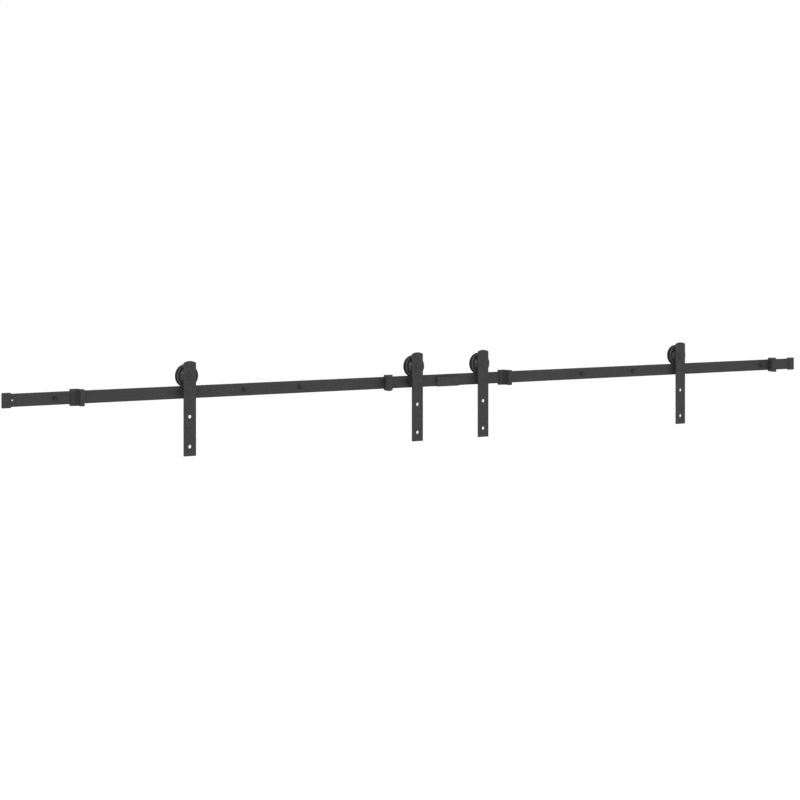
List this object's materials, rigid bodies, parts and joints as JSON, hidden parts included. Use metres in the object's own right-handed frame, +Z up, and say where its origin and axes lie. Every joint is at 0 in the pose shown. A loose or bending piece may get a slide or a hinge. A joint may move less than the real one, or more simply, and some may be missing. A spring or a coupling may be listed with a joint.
{
  "type": "sliding barn door track",
  "caption": "Flat-bar sliding door track on wall spacers, with grooved roller hangers, adjustable padded stops and end caps.",
  "frame": {"origin": "on the wall face, midway between the two wall bolts nearest the joint of the bars, level with the wall bolts", "axes": "+X along the track to the right, -Y into the room, +Z up"},
  "size_m": [3.058, 0.1075, 0.286],
  "materials": {
    "powder_coat": "matte charcoal powder coat",
    "wheel_nylon": "satin black nylon, turned",
    "black_rubber": "matte black rubber",
    "black_fastener": "satin black oxide",
    "bearing_steel": "ground bearing steel",
    "zinc": "zinc plated steel"
  },
  "bodies": {
    "track": {"rail_left": "powder_coat", "rail_right": "powder_coat", "wall_spacers_left": "powder_coat", "wall_spacers_right": "powder_coat", "wall_bolts_left": "black_fastener", "wall_bolts_right": "black_fastener", "joint_plate": "powder_coat", "joint_screws": "black_fastener", "joint_washers": "zinc", "end_cap_left": "black_rubber", "end_cap_right": "black_rubber", "stop_set_screws": "black_fastener", "stop_1_bracket": "powder_coat", "stop_1_pad": "black_rubber", "stop_2_bracket": "powder_coat", "stop_2_pad": "black_rubber", "stop_3_bracket": "powder_coat", "stop_3_pad": "black_rubber", "stop_4_bracket": "powder_coat", "stop_4_pad": "black_rubber"},
    "hanger_1": {"strap_1": "powder_coat", "axle_bolt_1": "black_fastener", "axle_collars_1": "powder_coat", "bearing_inner_1": "bearing_steel", "axle_nut_1": "zinc"},
    "wheel_1": {"wheel_1": "wheel_nylon", "bearing_outer_1": "bearing_steel", "ball_cage_1": "bearing_steel", "circlip_1": "black_fastener"},
    "hanger_2": {"strap_2": "powder_coat", "axle_bolt_2": "black_fastener", "axle_collars_2": "powder_coat", "bearing_inner_2": "bearing_steel", "axle_nut_2": "zinc"},
    "wheel_2": {"wheel_2": "wheel_nylon", "bearing_outer_2": "bearing_steel", "ball_cage_2": "bearing_steel", "circlip_2": "black_fastener"},
    "hanger_3": {"strap_3": "powder_coat", "axle_bolt_3": "black_fastener", "axle_collars_3": "powder_coat", "bearing_inner_3": "bearing_steel", "axle_nut_3": "zinc"},
    "wheel_3": {"wheel_3": "wheel_nylon", "bearing_outer_3": "bearing_steel", "ball_cage_3": "bearing_steel", "circlip_3": "black_fastener"},
    "hanger_4": {"strap_4": "powder_coat", "axle_bolt_4": "black_fastener", "axle_collars_4": "powder_coat", "bearing_inner_4": "bearing_steel", "axle_nut_4": "zinc"},
    "wheel_4": {"wheel_4": "wheel_nylon", "bearing_outer_4": "bearing_steel", "ball_cage_4": "bearing_steel", "circlip_4": "black_fastener"}
  },
  "joints": [
    {"name": "roll_1", "type": "slide", "parent": "track", "child": "hanger_1", "axis": [1, 0, 0], "range_m": [-0.3235, 0.6774]},
    {"name": "spin_1", "type": "hinge", "parent": "hanger_1", "child": "wheel_1", "pos_m": [-0.9427, -0.03492, 0.04905], "axis": [0, 1, 0], "continuous": true},
    {"name": "roll_2", "type": "slide", "parent": "track", "child": "hanger_2", "axis": [1, 0, 0], "range_m": [-0.0581, 0.0918]},
    {"name": "spin_2", "type": "hinge", "parent": "hanger_2", "child": "wheel_2", "pos_m": [-0.1278, -0.03492, 0.04905], "axis": [0, 1, 0], "continuous": true},
    {"name": "roll_3", "type": "slide", "parent": "track", "child": "hanger_3", "axis": [1, 0, 0], "range_m": [-0.0936, 0.0518]},
    {"name": "spin_3", "type": "hinge", "parent": "hanger_3", "child": "wheel_3", "pos_m": [0.1296, -0.03492, 0.04905], "axis": [0, 1, 0], "continuous": true},
    {"name": "roll_4", "type": "slide", "parent": "track", "child": "hanger_4", "axis": [1, 0, 0], "range_m": [-0.7121, 0.4113]},
    {"name": "spin_4", "type": "hinge", "parent": "hanger_4", "child": "wheel_4", "pos_m": [0.9729, -0.03492, 0.04905], "axis": [0, 1, 0], "continuous": true}
  ],
  "couplings": [
    {"joint": "spin_1", "follows": "roll_1", "rad_per_m": 33.333},
    {"joint": "spin_2", "follows": "roll_2", "rad_per_m": 33.333},
    {"joint": "spin_3", "follows": "roll_3", "rad_per_m": 33.333},
    {"joint": "spin_4", "follows": "roll_4", "rad_per_m": 33.333}
  ]
}
